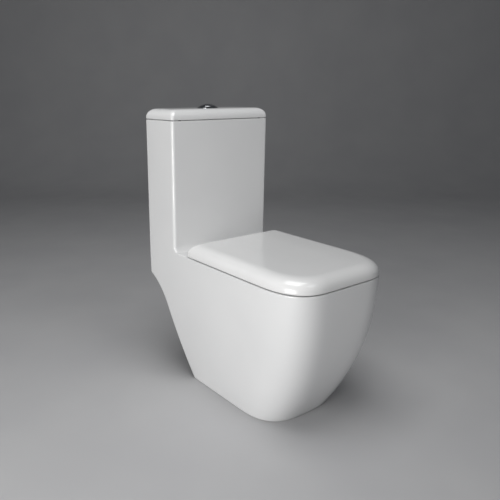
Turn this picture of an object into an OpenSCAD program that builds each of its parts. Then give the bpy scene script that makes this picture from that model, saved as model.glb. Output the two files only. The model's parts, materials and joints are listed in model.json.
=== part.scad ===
// One-piece toilet: glazed ceramic pan and cistern, wrap-over soft-close seat, dual-flush cistern fittings.
// Millimetres. +Z up, the front of the pan towards -Y, the wall side towards +Y, origin on the floor
// under the middle of the bounding box.

/* [Ceramic body] */
// Width across the pan rim and the cistern
body_w = 360; // [352:2:368]
// Depth from the front of the pan to the wall face
body_d = 670; // [660:2:680]
// Height of the pan rim and of the deck behind it
rim_z = 413.5; // [410:0.5:420]
// Height of the top edge of the cistern
cistern_z = 799.2; // [780:0.2:810]
// Depth of the cistern, front face to wall face
cistern_d = 151; // [147:1:155]
// Thickness of the ceramic walls
wall = 12; // [10:0.5:13]
// Width of the foot on the floor
foot_w = 284; // [270:2:300]
// How far the front of the foot is set back from the front of the rim
foot_setback = 120; // [100:2:140]

/* [Seat and lid] */
// Gap between the rim and the bottom edge of the seat lid
lid_gap = 3; // [2.5:0.5:4]
// Height of the seat lid, edge to top
lid_h = 38.5; // [37:0.5:40]
// How far the rounded side of the seat lid runs in
lid_crown = 41; // [38:1:44]
// Distance of the hinge axis in front of the cistern
hinge_gap = 78; // [77:0.5:79]
// Spacing of the two hinge fixings
hinge_spacing = 155; // [150:1:160]

/* [Cistern lid and buttons] */
// Height of the cistern lid
cistern_lid_h = 30.5; // [28:0.5:34]
// Seam between the cistern and its lid
lid_seam = 1.6; // [1.2:0.2:2]
// Radius of the flush button's bezel
bezel_r = 33; // [32:0.5:35]
// Height of the button's dome above the lid
dome_h = 12.5; // [11:0.5:13]

/* [Hidden] */
$fn = 48;
eps = 0.01;
over = 1;        // how far a cutting shape runs past the face it cuts
slip = 0.05;     // radial clearance of a running fit
snug = 0.03;     // radial clearance of a fixed fit

// Colours
white_glaze = [0.93, 0.93, 0.92];
seat_white = [0.95, 0.95, 0.94];
chrome = [0.72, 0.73, 0.75];
steel = [0.62, 0.63, 0.65];
grey_plastic = [0.80, 0.81, 0.82];
blue_plastic = [0.25, 0.42, 0.62];
black_rubber = [0.13, 0.13, 0.14];

// Body outline
half_w = body_w / 2;
front_y = -body_d / 2;
wall_y = body_d / 2;
side_power = 2.1;
front_power = 2.08;
corner_n = 2.95;          // exponent of the superellipse that rounds the front corners
rim_corner = [119, 158];  // reach of a front corner across and along, at the rim
foot_corner = [135, 141]; // the same on the floor
edge_r = 9;               // vertical edges of the cistern
rim_round = 3;
straight_band = 15;       // the sides are upright this far below the rim
corner_steps = 12;

// Back edge of the skirt: a straight slope up from the floor, an arc, then a flat slope to the wall
back_foot_y = 140;
back_slope = 65.7;
back_arc_z = 228;
back_arc_r = 170;
back_end_slope = 28;

// Bowl and its opening in the rim
bowl_w = 122;
bowl_front = -262;
bowl_rear = 38;
bowl_n = 2.4;
bowl_power = 1.6;
sump_w = 30;
sump_front = -85;
sump_rear = -20;
sump_z = 95;
bowl_sides = 32;

// Trapway, in the plane x = 0
trap_bore_r = 32;
trap_out_r = 42;
trap_bend_r = 46;
trap_leg = 183;           // length of the up leg
trap_sides = 24;
trap_rise = 50;           // slope of the up leg
trap_crest_z = 254;
trap_crest_y = 129;
outlet_z = 185;
outlet_out_r = 51;
outlet_bore_r = 40;
outlet_end_y = 268;
outlet_len = 56;

// Cistern
cistern_y = wall_y - cistern_d;
tank_z = rim_z + 1.5;
deck_under = rim_z - wall;
cove_r = 16;
valve_y = (cistern_y + wall_y) / 2;
fill_x = -125;
valve_hole_r = 26;
fill_hole_r = 11.5;

// Flush duct from the tank to the bowl
duct_w = 76;
duct_h = 29.5;
duct_wall = 10;
duct_end_y = 298;         // inside its rear end

// Lugs inside the foot for the floor screws
lug_x = 110;
lug_y = 112;
lug_h = 14;
lug_hole_r = 5.5;

// Hinge axis, parallel to X
hinge_y = cistern_y - hinge_gap;
hinge_z = rim_z + 22.5;
hinge_x = hinge_spacing / 2;
post_w = 22;
post_r = 9;
pin_r = 4;
ear_gap = 0.7;
ear_w = 15;
ear_r = 9;
sleeve_r = 6.5;
hinge_hole_r = 7;

// Seat ring and lid
lid_z = rim_z + lid_gap;
lid_top = lid_z + lid_h;
lid_front_crown = 38;     // how far the rounded front of the lid runs in
lid_crown_n = 2.3;        // exponent of the superellipse of its sides and front
lid_bow = 3.8;            // gentle rise of the whole top towards the middle
lid_rear = 119.7;         // rear face of the lid
lid_rear_crown = [31, 24.7];
lid_rear_n = 1.7;
lid_rear_r = 7;           // upright rear corners
lid_heel_r = 5;           // rounded bottom edge of the rear, which swings past the rim
lid_strip_y = hinge_y - 10; // the lid is solid behind this, round the hinge axis
lid_wall = 5;
lid_roof = 5.5;
ring_z = rim_z + 6.5;
ring_h = 21;
ring_inset = 9;
ring_rear = 62;
ring_side = 4;            // upright part of its outer edge, under the crown
ring_crown = 20;          // how far the crown runs in
ring_hole = [103, -235, 25];

// Cistern lid and buttons
cap_z = cistern_z + lid_seam;
cap_top = cap_z + cistern_lid_h;
cap_round = 25;
cap_hollow_z = cap_top - 13.3;
cup_r = 27.4;
cup_in_r = 25.6;
cup_floor_z = cap_z;
cup_floor_h = 3;
cap_hole_r = 28;
button_r = 25.2;
button_bottom = cap_top - 5;
split_x = -6;
split_gap = 0.6;
dome_r = (bezel_r * bezel_r + dome_h * dome_h) / (2 * dome_h);
rod_x = 18.5;
rod_r = 2.5;
rod_low_z = 640.3;
tappet_r = 4;
tappet_z = 570;
tappet_top = 640;

// Flush valve
housing_z = 560;
housing_h = 40;
housing_r = 34;
tube_r = 13;
tube_in_r = 10.5;
seat_z = tank_z + 12;

// Fill valve
riser_r = 10.48;
fill_tail_z = 350;
fill_tail_h = 36;         // threaded length for the water supply, up to a groove
fill_groove_h = 3;
fill_groove_r = 9.4;
head_z = 690;
head_h = 34;
float_z = 560;
float_h = 60;
lever_x = fill_x - 18;
lever_z = head_z + head_h + 5;
lever_len = 45;

// ---------- general shapes ----------

// Closed loft through rings of points, the lowest first, each clockwise seen from above
module loft(rings) {
    n = len(rings[0]);
    last = len(rings) - 1;
    bottom = [for (i = [n - 1:-1:0]) i];
    top = [for (i = [0:n - 1]) last * n + i];
    sides = [for (k = [0:last - 1], i = [0:n - 1])
        let (j = (i + 1) % n, a = k * n, b = a + n)
        each [[a + j, b + j, b + i], [a + j, b + i, a + i]]];
    polyhedron([for (r = rings) each r], concat([bottom], sides, [top]));
}

function at_height(points, z) = [for (p = points) [p[0], p[1], z]];

// Rounded back corner of a right half, from the back edge round to the side
function back_corner(w, rear, back_r) = [for (i = [0:3]) let (a = 90 - 30 * i)
    [w - back_r + back_r * cos(a), rear - back_r + back_r * sin(a)]];

// Right half of an outline: rounded back corner, straight side, superellipse front corner
function right_half(w, front, rear, reach, n, back_r) = concat(
    back_corner(w, rear, back_r),
    [for (i = [0:corner_steps]) let (a = 90 * i / corner_steps)
        [w - reach[0] + reach[0] * pow(cos(a), 2 / n), front + reach[1] - reach[1] * pow(sin(a), 2 / n)]]);

function mirrored(half) = concat(half, [for (i = [len(half) - 1:-1:0]) [-half[i][0], half[i][1]]]);

function outline(w, front, rear, reach, n, back_r) = mirrored(right_half(w, front, rear, reach, n, back_r));

// Oval seen from above, clockwise
function oval(w, front, rear, n, sides) =
    let (mid = (front + rear) / 2, half = (rear - front) / 2)
    [for (i = [0:sides - 1]) let (a = -360 * i / sides)
        [w * sign(cos(a)) * pow(abs(cos(a)), 2 / n), mid + half * sign(sin(a)) * pow(abs(sin(a)), 2 / n)]];

// Box with round vertical edges, from corner [x0, y0] to [x1, y1]
module round_box(x0, y0, x1, y1, z0, z1, r) {
    translate([0, 0, z0]) linear_extrude(z1 - z0) round_rect(x0, y0, x1, y1, r);
}

module round_rect(x0, y0, x1, y1, r) {
    corners = [[x1 - r, y1 - r, 0], [x0 + r, y1 - r, 90], [x0 + r, y0 + r, 180], [x1 - r, y0 + r, 270]];
    polygon([for (c = corners, a = [0:15:90]) [c[0] + r * cos(c[2] + a), c[1] + r * sin(c[2] + a)]]);
}

module box(x0, y0, z0, x1, y1, z1) {
    translate([x0, y0, z0]) cube([x1 - x0, y1 - y0, z1 - z0]);
}

// Cylinder along X
module bar_x(x0, x1, y, z, r) {
    translate([x0, y, z]) rotate([0, 90, 0]) cylinder(r = r, h = x1 - x0);
}

// Upright tube or rod
module post(x, y, z0, z1, r) {
    translate([x, y, z0]) cylinder(r = r, h = z1 - z0);
}

module both_sides() {
    for (s = [-1, 1]) scale([s, 1, 1]) children();
}

// ---------- ceramic body ----------

// 0 from the straight band under the rim upwards, 1 on the floor
function drop(z) = max(0, 1 - z / (rim_z - straight_band));
function body_half(z) = half_w - (half_w - foot_w / 2) * pow(drop(z), side_power);
function body_front(z) = front_y + foot_setback * pow(drop(z), front_power);
function body_reach(z) = rim_corner + (foot_corner - rim_corner) * drop(z);

function body_ring(z, inset) = at_height(outline(
    body_half(z) - inset, body_front(z) + inset, wall_y - inset,
    body_reach(z) - [inset, inset] / 2, corner_n, max(edge_r - inset, 2)), z);

module skirt_outside() {
    levels = [0, 70, 130, 185, 235, 285, 335, rim_z - straight_band, rim_z - rim_round];
    loft([for (z = levels) body_ring(z, 0)]);
    // Rounded edge of the rim, as far back as the cistern
    loft([for (a = [0, 30, 60, 90]) let (inset = rim_round * (1 - cos(a)))
        at_height(outline(half_w - inset, front_y + inset, cistern_y + 20, rim_corner, corner_n, 1),
            rim_z - rim_round + rim_round * sin(a))]);
}

module skirt_inside() {
    levels = [0, 90, 180, 280, deck_under];
    loft(concat([at_height(body_ring(0, wall), -over)], [for (z = levels) body_ring(z, wall)]));
}

// Everything behind the sloping back edge of the skirt
module behind_skirt() {
    arc_y = back_foot_y + back_arc_z / tan(back_slope);
    centre = [arc_y + back_arc_r * sin(back_slope), back_arc_z - back_arc_r * cos(back_slope)];
    turn = back_slope - back_end_slope;
    arc = [for (i = [0:8]) let (a = 90 + back_slope - turn * i / 8) centre + back_arc_r * [cos(a), sin(a)]];
    far_y = wall_y + 40;
    end_z = arc[8][1] + (wall_y + over - arc[8][0]) * tan(back_end_slope);
    edge = concat([[back_foot_y - over / tan(back_slope), -over]], arc, [[wall_y + over, end_z]]);
    translate([-half_w - over, 0, 0]) rotate([90, 0, 90]) linear_extrude(body_w + 2 * over)
        polygon(concat(edge, [[far_y, end_z], [far_y, -over]]));
}

// Bowl surface at a depth of 0 at the rim and 1 at the sump, pushed out by grow
function bowl_ring(depth, z, grow) =
    let (open = sqrt(max(0, 1 - pow(depth, bowl_power))))
    at_height(oval(
        sump_w + (bowl_w - sump_w) * open + grow,
        sump_front + (bowl_front - sump_front) * open - grow,
        bowl_rear + (sump_rear - bowl_rear) * depth + grow, bowl_n, bowl_sides), z);

function bowl_z(depth) = rim_z + (sump_z - rim_z) * depth;

bowl_depths = [0, 0.2, 0.4, 0.57, 0.72, 0.84, 0.93, 0.98, 1];

module bowl_outside() {
    depths = [for (i = [len(bowl_depths) - 1:-1:1]) bowl_depths[i]];
    loft(concat(
        [bowl_ring(1, sump_z - wall, wall / 2)],
        [for (d = depths) bowl_ring(d, bowl_z(d), wall)],
        [bowl_ring(0, rim_z - wall / 2, wall)]));
}

module bowl_inside() {
    depths = [for (i = [len(bowl_depths) - 1:-1:0]) bowl_depths[i]];
    loft(concat([for (d = depths) bowl_ring(d, bowl_z(d), 0)], [bowl_ring(0, rim_z + over, 0)]));
}

// Middle line of the trapway in the plane x = 0, as [y, z, slope]: the start of the up leg (run on
// backwards by extra), the crest bend over the weir, the bend back to level and a short level run
function trap_line(extra) =
    let (
        crest = [trap_crest_y, trap_crest_z - trap_bend_r],
        fall = acos(1 - (trap_crest_z - outlet_z) / (2 * trap_bend_r)),
        out_y = trap_crest_y + 2 * trap_bend_r * sin(fall),
        top = crest + trap_bend_r * [-sin(trap_rise), cos(trap_rise)],
        low = top - (trap_leg + extra) * [cos(trap_rise), sin(trap_rise)]
    )
    concat(
        [[low[0], low[1], trap_rise]],
        [for (i = [0:8]) let (a = trap_rise - (trap_rise + fall) * i / 8)
            [crest[0] - trap_bend_r * sin(a), crest[1] + trap_bend_r * cos(a), a]],
        [for (i = [1:5]) let (a = -fall + fall * i / 5)
            [out_y + trap_bend_r * sin(a), outlet_z + trap_bend_r - trap_bend_r * cos(a), a]],
        [[out_y + 4, outlet_z, 0]]);

// Tube of radius r along the trapway
module trapway(r, extra) {
    loft([for (p = trap_line(extra)) [for (i = [0:trap_sides - 1]) let (t = 360 * i / trap_sides)
        [r * cos(t), p[0] - r * sin(t) * sin(p[2]), p[1] + r * sin(t) * cos(p[2])]]]);
}

module cistern_outside() {
    front_corner = [for (i = [0:3]) let (a = 30 * i)
        [half_w - edge_r + edge_r * cos(a), cistern_y + edge_r - edge_r * sin(a)]];
    ring = mirrored(concat(back_corner(half_w, wall_y, edge_r), front_corner));
    loft([at_height(ring, rim_z - rim_round), at_height(ring, cistern_z)]);
}

module cistern_inside() {
    round_box(-half_w + wall, cistern_y + wall, half_w - wall, wall_y - wall, tank_z, cistern_z + over, 8);
}

// Small cove where the cistern front meets the deck
module deck_cove() {
    reach = half_w - rim_round;
    translate([-reach, cistern_y, rim_z]) rotate([90, 0, 90]) linear_extrude(2 * reach) difference() {
        translate([-cove_r, -over]) square([cove_r + over, cove_r + over]);
        translate([-cove_r, cove_r]) circle(r = cove_r);
    }
}

module duct_outside() {
    box(-duct_w / 2 - duct_wall, bowl_rear - 8, deck_under - duct_h - duct_wall,
        duct_w / 2 + duct_wall, duct_end_y + duct_wall, deck_under + over);
}

module duct_inside() {
    box(-duct_w / 2, 0, deck_under - duct_h, duct_w / 2, duct_end_y, deck_under);
}

module floor_lugs() {
    both_sides() box(lug_x - 18, lug_y - 24, 0, foot_w / 2 - 4, lug_y + 22, lug_h);
}

module casting() {
    difference() {
        union() {
            difference() {
                skirt_outside();
                skirt_inside();
                behind_skirt();
            }
            cistern_outside();
            deck_cove();
            bowl_outside();
            duct_outside();
            trapway(trap_out_r, wall);
            floor_lugs();
        }
        bowl_inside();
        duct_inside();
        trapway(trap_bore_r, 0);
        cistern_inside();
    }
}

module ceramic_body() {
    color(white_glaze) difference() {
        union() {
            // The whole casting is one smooth mesh; the spigot and the holes stay true cylinders
            resize([0, 0, 0]) casting();
            translate([0, outlet_end_y - outlet_len, outlet_z]) rotate([-90, 0, 0])
                cylinder(r = outlet_out_r, h = outlet_len);
        }
        translate([0, outlet_end_y - outlet_len + wall / 2, outlet_z]) rotate([-90, 0, 0])
            cylinder(r = outlet_bore_r, h = outlet_len);
        post(0, valve_y, deck_under - over, tank_z + over, valve_hole_r);
        post(fill_x, valve_y, deck_under - over, tank_z + over, fill_hole_r);
        for (s = [-1, 1]) {
            post(s * hinge_x, hinge_y, deck_under - over, rim_z + over, hinge_hole_r);
            post(s * lug_x, lug_y, -over, lug_h + over, lug_hole_r);
        }
    }
}

// ---------- cistern lid and flush buttons ----------

function cap_ring(z, inset) = at_height(mirrored([
    for (c = [[wall_y - inset - edge_r, 90], [cistern_y + inset + edge_r, 0]], a = [0:18:90])
        [half_w - inset - edge_r + edge_r * cos(c[1] - a), c[0] + edge_r * sin(c[1] - a)]]), z);

module cap_outside() {
    loft(concat(
        [cap_ring(cap_z, 1), cap_ring(cap_z + 1, 0)],
        [for (a = [0:15:90]) cap_ring(cap_top - cap_round + cap_round * sin(a), cap_round * (1 - cos(a)))]));
}

module cap_hollow() {
    loft([
        cap_ring(cap_z - over, 18),
        cap_ring(cap_hollow_z - 8, 18),
        cap_ring(cap_hollow_z - 3, 20),
        cap_ring(cap_hollow_z, 25)]);
}

// Rib that keeps the lid centred in the cistern
module cap_rib() {
    reach = half_w - wall - 3;
    difference() {
        round_box(-reach, cistern_y + wall + 3, reach, wall_y - wall - 3, cap_z - 10, cap_z + 4, 6);
        round_box(-reach + 6, cistern_y + wall + 9, reach - 6, wall_y - wall - 9,
            cap_z - 11, cap_z + 5, 4);
    }
}

module cistern_lid() {
    color(white_glaze) difference() {
        resize([0, 0, 0]) union() {
            difference() {
                cap_outside();
                cap_hollow();
            }
            cap_rib();
        }
        post(0, valve_y, cap_hollow_z - over, cap_top + over, cap_hole_r);
    }
}

module cistern_lid_pads() {
    color(black_rubber)
        for (x = [-150, 150], y = [cistern_y + wall / 2, wall_y - wall / 2]) post(x, y, cistern_z, cap_z, 4);
}

// The dome that the bezel and the two buttons share, down to height low
module dome(low) {
    intersection() {
        translate([0, valve_y, cap_top + dome_h - dome_r]) sphere(r = dome_r, $fn = 96);
        post(0, valve_y, low, cap_top + dome_h + over, bezel_r + over);
    }
}

module button_bezel() {
    color(chrome) difference() {
        union() {
            dome(cap_top);
            post(0, valve_y, cup_floor_z, cap_top + eps, cup_r);
        }
        post(0, valve_y, cup_floor_z + cup_floor_h, cap_top + dome_h + over, cup_in_r);
        for (x = [-rod_x, rod_x]) post(x, valve_y, cup_floor_z - over, cup_floor_z + 4, rod_r + slip);
    }
}

module button_nut() {
    color(grey_plastic) difference() {
        post(0, valve_y, cap_hollow_z - 10, cap_hollow_z, 37);
        post(0, valve_y, cap_hollow_z - 11, cap_hollow_z + over, cup_r + snug);
        for (a = [0:30:330]) translate([0, valve_y, 0]) rotate(a) post(38.5, 0, cap_hollow_z - 11, cap_hollow_z + over, 3);
    }
}

// One push plate: the part of the dome between x0 and x1
module button(x0, x1, x) {
    difference() {
        intersection() {
            dome(button_bottom);
            post(0, valve_y, button_bottom, cap_top + dome_h + over, button_r);
            box(x0, valve_y - button_r - over, button_bottom, x1, valve_y + button_r + over,
                cap_top + dome_h + over);
        }
        post(x, valve_y, button_bottom - over, button_bottom + 5, rod_r + snug);
    }
}

module full_flush_button() {
    color(chrome) button(split_x + split_gap / 2, button_r + over, rod_x);
}

module half_flush_button() {
    color(chrome) button(-button_r - over, split_x - split_gap / 2, -rod_x);
}

module push_rod(x) {
    post(x, valve_y, rod_low_z, button_bottom + 5, rod_r);
}

module full_push_rod() {
    color(steel) push_rod(rod_x);
}

module half_push_rod() {
    color(steel) push_rod(-rod_x);
}

// Coil spring of square-section wire round a push rod
module button_spring(x) {
    coil_r = 4.6;
    wire = 0.6;
    turns = 5;
    steps = 16;
    z0 = cup_floor_z + cup_floor_h + 0.1;
    rise = button_bottom - 0.1 - z0 - 2 * wire;
    count = turns * steps;
    section = [[-wire, 0], [-wire, 2 * wire], [wire, 2 * wire], [wire, 0]];
    points = [for (i = [0:count], p = section) let (a = 360 * i / steps)
        [x + (coil_r + p[0]) * cos(a), valve_y + (coil_r + p[0]) * sin(a), z0 + p[1] + rise * i / count]];
    sides = [for (i = [0:count - 1], k = [0:3]) let (a = 4 * i, j = (k + 1) % 4)
        each [[a + k, a + j, a + 4 + j], [a + k, a + 4 + j, a + 4 + k]]];
    polyhedron(points, concat([[3, 2, 1, 0]], sides, [[for (k = [0:3]) 4 * count + k]]));
}

module full_button_spring() {
    color(steel) button_spring(rod_x);
}

module half_button_spring() {
    color(steel) button_spring(-rod_x);
}

// ---------- flush valve ----------

module flush_valve_body() {
    cage_r = 31.2;
    color(grey_plastic) difference() {
        union() {
            post(0, valve_y, deck_under - 17, tank_z + 3, valve_hole_r - 0.5);
            post(0, valve_y, tank_z + 3, tank_z + 8, 40);
            post(0, valve_y, tank_z + 8, seat_z, 24);
            for (a = [45:90:315]) translate([0, valve_y, 0]) rotate(a) post(cage_r, 0, tank_z + 8 - eps, housing_z + eps, 3.5);
            post(0, valve_y, housing_z, housing_z + housing_h, housing_r);
            post(0, valve_y, housing_z - 4, housing_z + eps, housing_r + 1.5);
        }
        post(0, valve_y, deck_under - 18, seat_z + over, 21);
        post(0, valve_y, housing_z - 5, housing_z + housing_h + over, tube_r + slip);
        for (x = [-rod_x, rod_x]) post(x, valve_y, housing_z - 5, housing_z + housing_h + over, tappet_r + slip);
    }
}

module flush_valve_gasket() {
    color(black_rubber) difference() {
        post(0, valve_y, tank_z, tank_z + 3, 38);
        post(0, valve_y, tank_z - over, tank_z + 4, valve_hole_r - 0.5 + snug);
    }
}

module flush_valve_nut() {
    color(grey_plastic) difference() {
        post(0, valve_y, deck_under - 12, deck_under, 35);
        post(0, valve_y, deck_under - 13, deck_under + over, valve_hole_r - 0.5 + snug);
        for (a = [0:45:315]) translate([0, valve_y, 0]) rotate(a) post(36.5, 0, deck_under - 13, deck_under + over, 4);
    }
}

// Overflow tube: it carries the seal and lifts with it
module overflow_tube() {
    color(blue_plastic) difference() {
        union() {
            post(0, valve_y, seat_z - 8, 706, tube_r);
            post(0, valve_y, seat_z + 3.1, seat_z + 7, 25);
        }
        post(0, valve_y, seat_z - 9, 707, tube_in_r);
    }
}

module seal_washer() {
    color(black_rubber) difference() {
        post(0, valve_y, seat_z, seat_z + 3.1, 27);
        post(0, valve_y, seat_z - over, seat_z + 4, tube_r + snug);
    }
}

module tappet(x) {
    post(x, valve_y, tappet_z, tappet_top - 3 + eps, tappet_r);
    post(x, valve_y, tappet_top - 3, tappet_top, tappet_r + 1);
}

module full_tappet() {
    color(blue_plastic) tappet(rod_x);
}

module half_tappet() {
    color(grey_plastic) tappet(-rod_x);
}

// ---------- fill valve ----------

module fill_valve_body() {
    groove_top = fill_tail_z + fill_tail_h + fill_groove_h;
    color(grey_plastic) difference() {
        union() {
            post(fill_x, valve_y, fill_tail_z, fill_tail_z + fill_tail_h, riser_r);
            post(fill_x, valve_y, fill_tail_z + fill_tail_h - eps, groove_top + eps, fill_groove_r);
            post(fill_x, valve_y, groove_top, head_z + eps, riser_r);
            post(fill_x, valve_y, tank_z + 3, tank_z + 8, 19);
            post(fill_x, valve_y, float_z - 5, float_z - 1, 15);
        }
        post(fill_x, valve_y, fill_tail_z - over, head_z - 6, 6);
    }
}

module fill_valve_washer() {
    color(black_rubber) difference() {
        post(fill_x, valve_y, tank_z, tank_z + 3, 18);
        post(fill_x, valve_y, tank_z - over, tank_z + 4, riser_r + snug);
    }
}

module fill_valve_nut() {
    color(grey_plastic) difference() {
        translate([fill_x, valve_y, deck_under - 9]) cylinder(r = 16, h = 9, $fn = 6);
        post(fill_x, valve_y, deck_under - 10, deck_under + over, riser_r + snug);
    }
}

// Valve head with the two ears and the pin of the lever
module fill_valve_head() {
    ear = 4;
    slot = 8.6;
    color(grey_plastic) {
        difference() {
            union() {
                post(fill_x, valve_y, head_z + eps, head_z + head_h, 19);
                for (s = [-1, 1]) box(lever_x - ear, valve_y + s * (slot + ear) / 2 - ear / 2, head_z + head_h - 6,
                    lever_x + ear, valve_y + s * (slot + ear) / 2 + ear / 2, lever_z + ear);
            }
            box(lever_x - 6, valve_y - slot / 2, head_z + head_h - 1.2, fill_x + 24, valve_y + slot / 2,
                head_z + head_h + over);
        }
        translate([lever_x, valve_y - slot / 2 - ear, lever_z]) rotate([-90, 0, 0])
            cylinder(r = 2, h = slot + 2 * ear);
    }
}

module fill_valve_lever() {
    barrel_w = 8;
    slot_half = 3.6;
    color(blue_plastic) difference() {
        union() {
            translate([lever_x, valve_y - barrel_w / 2, lever_z]) rotate([-90, 0, 0]) cylinder(r = 3.8, h = barrel_w);
            box(lever_x, valve_y - barrel_w / 2, lever_z - 1.5, lever_x + lever_len + 7, valve_y + barrel_w / 2,
                lever_z + 1.5);
        }
        translate([lever_x, valve_y - barrel_w, lever_z]) rotate([-90, 0, 0]) cylinder(r = 2 + slip, h = 2 * barrel_w);
        box(lever_x + lever_len - slot_half, valve_y - 2, lever_z - 4, lever_x + lever_len + slot_half, valve_y + 2,
            lever_z + 4);
    }
}

module float_cup() {
    color(grey_plastic) difference() {
        post(fill_x, valve_y, float_z, float_z + float_h, 33);
        post(fill_x, valve_y, float_z - over, float_z + float_h + over, riser_r + 0.6);
        difference() {
            post(fill_x, valve_y, float_z - over, float_z + float_h - 3, 31);
            post(fill_x, valve_y, float_z - 2, float_z + float_h, riser_r + 3);
            post(lever_x + lever_len, valve_y, float_z - 2, float_z + float_h, 4.5);
        }
        post(lever_x + lever_len, valve_y, float_z + float_h - 20, float_z + float_h + over, 1.5 + snug);
    }
}

module float_rod() {
    x = lever_x + lever_len;
    color(steel) {
        post(x, valve_y, float_z + float_h - 20, lever_z + 8, 1.5);
        post(x, valve_y, lever_z - 5.8, lever_z - 2.8, 3.4);
        post(x, valve_y, lever_z + 3.2, lever_z + 5.2, 3.4);
    }
}

// ---------- seat lid ----------

lid_reach = [119, 158];

// Rear face of the lid at height z: rounded at the bottom, upright, then crowned over to the top
function lid_back(z) =
    let (
        heel = max(0, lid_z + lid_heel_r - z),
        rise = min(1, max(0, (z - lid_top + lid_rear_crown[1]) / lid_rear_crown[1])),
        run_in = 1 - pow(1 - pow(rise, lid_rear_n), 1 / lid_rear_n)
    )
    lid_rear - lid_heel_r + sqrt(lid_heel_r * lid_heel_r - heel * heel) - lid_rear_crown[0] * run_in;

// Stations from the edge of the lid inwards, as [inset at the sides, inset at the front, height]
lid_stations = concat(
    [for (a = [0, 8, 16, 25, 35, 46, 58, 72, 90])
        let (q = 1 - pow(cos(a), 2 / lid_crown_n), inset = lid_crown * q)
        [inset, lid_front_crown * q, (lid_h - lid_bow) * pow(sin(a), 2 / lid_crown_n) + lid_bow_at(inset)]],
    [for (inset = [60, 85, 120])
        [inset, inset - lid_crown + lid_front_crown, lid_h - lid_bow + lid_bow_at(inset)]]);

function lid_bow_at(inset) = lid_bow * (1 - pow(1 - inset / half_w, 2));

function lid_ring_at(z, side, front, back) = at_height(outline(
    half_w - side, front_y + front, back, lid_reach - 0.67 * [side, front], corner_n, lid_rear_r), z);

module lid_outside() {
    // The rounded heel needs a ring of its own below the second station
    heel = lid_stations[0];
    loft(concat(
        [lid_ring_at(lid_z, 1, 1, lid_back(lid_z + 0.3)), lid_ring_at(lid_z + 1, 0, 0, lid_back(lid_z + 1)),
            lid_ring_at(lid_z + 2.5, heel[0] + 0.1, heel[1] + 0.1, lid_back(lid_z + 2.5))],
        [for (k = [1:len(lid_stations) - 1]) let (p = lid_stations[k], z = lid_z + p[2])
            lid_ring_at(z, p[0], p[1], lid_back(z))]));
}

// Domed space under the lid, in front of the solid strip that carries the hinges
module lid_dome() {
    flatter = (lid_h - lid_roof) / lid_h;
    loft(concat(
        [lid_ring_at(lid_z - over, lid_wall, lid_wall, lid_strip_y)],
        [for (p = lid_stations)
            lid_ring_at(lid_z + flatter * p[2], lid_wall + p[0], lid_wall + p[1], lid_strip_y)]));
}

// Gap in the rear of the lid for a hinge post and a seat ear
module lid_notch() {
    x0 = hinge_x - post_w / 2 - ear_w - 2.5;
    x1 = hinge_x + post_w / 2 + ear_gap;
    box(x0, lid_strip_y - over, lid_z - over, x1, lid_rear + over, hinge_z + post_r + 1);
}

module seat_lid() {
    x1 = hinge_x + post_w / 2 + ear_gap;
    color(seat_white) difference() {
        resize([0, 0, 0]) difference() {
            lid_outside();
            lid_dome();
            both_sides() lid_notch();
        }
        for (s = [-1, 1]) bar_x(s * (x1 + ear_w / 2) - ear_w / 2 - over, s * (x1 + ear_w / 2) + ear_w / 2 + over,
            hinge_y, hinge_z, sleeve_r + snug);
    }
}

// Buffers under the lid, shaped to its domed underside
module lid_buffers() {
    color(seat_white) intersection() {
        for (x = [-140, 140], y = [-170, 30]) post(x, y, ring_z + ring_h, lid_top, 5);
        resize([0, 0, 0]) translate([0, 0, -slip]) lid_dome();
    }
}

// ---------- seat ring ----------

function ring_level(z, inset) = at_height(outline(half_w - inset, front_y + inset, ring_rear,
    lid_reach - [inset, inset] / 2, corner_n, 14), z);

// Outside of the ring, crowned so that it clears the lid that wraps over it
module ring_outside() {
    side_z = ring_z + ring_side;
    crown_h = ring_h - ring_side;
    loft(concat(
        [ring_level(ring_z, ring_inset + 1), ring_level(ring_z + 1, ring_inset)],
        [for (a = [0:15:90]) ring_level(side_z + crown_h * sin(a), ring_inset + ring_crown * (1 - cos(a)))]));
}

module ring_hole() {
    translate([0, 0, ring_z - over]) linear_extrude(ring_h + 2 * over)
        polygon(oval(ring_hole[0], ring_hole[1], ring_hole[2], bowl_n, 48));
}

module seat_ring() {
    ear_x = hinge_x - post_w / 2 - ear_gap;
    color(seat_white) difference() {
        union() {
            resize([0, 0, 0]) difference() {
                ring_outside();
                ring_hole();
            }
            for (s = [-1, 1]) {
                bar_x(s * (ear_x - ear_w / 2) - ear_w / 2, s * (ear_x - ear_w / 2) + ear_w / 2,
                    hinge_y, hinge_z, ear_r);
                box(s * (ear_x - ear_w / 2) - ear_w / 2, ring_rear - 6, hinge_z - 8,
                    s * (ear_x - ear_w / 2) + ear_w / 2, hinge_y, ring_z + ring_h);
            }
        }
        for (s = [-1, 1]) bar_x(s * (ear_x - ear_w / 2) - ear_w / 2 - over, s * (ear_x - ear_w / 2) + ear_w / 2 + over,
            hinge_y, hinge_z, sleeve_r + snug);
    }
}

module seat_buffers() {
    color(seat_white) for (x = [-146, 146], y = [-170, 30]) post(x, y, rim_z, ring_z, 8);
}

// ---------- hinges ----------

// Bush that turns on a hinge pin; x is its middle
module bush(x) {
    difference() {
        bar_x(x - ear_w / 2, x + ear_w / 2, hinge_y, hinge_z, sleeve_r);
        bar_x(x - ear_w / 2 - over, x + ear_w / 2 + over, hinge_y, hinge_z, pin_r + slip);
    }
}

seat_ear_x = hinge_x - post_w / 2 - ear_gap - ear_w / 2;
lid_ear_x = hinge_x + post_w / 2 + ear_gap + ear_w / 2;

module seat_damper() {
    color(blue_plastic) bush(seat_ear_x);
}

module seat_sleeve() {
    color(grey_plastic) bush(-seat_ear_x);
}

module lid_damper() {
    color(blue_plastic) bush(-lid_ear_x);
}

module lid_sleeve() {
    color(grey_plastic) bush(lid_ear_x);
}

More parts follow.
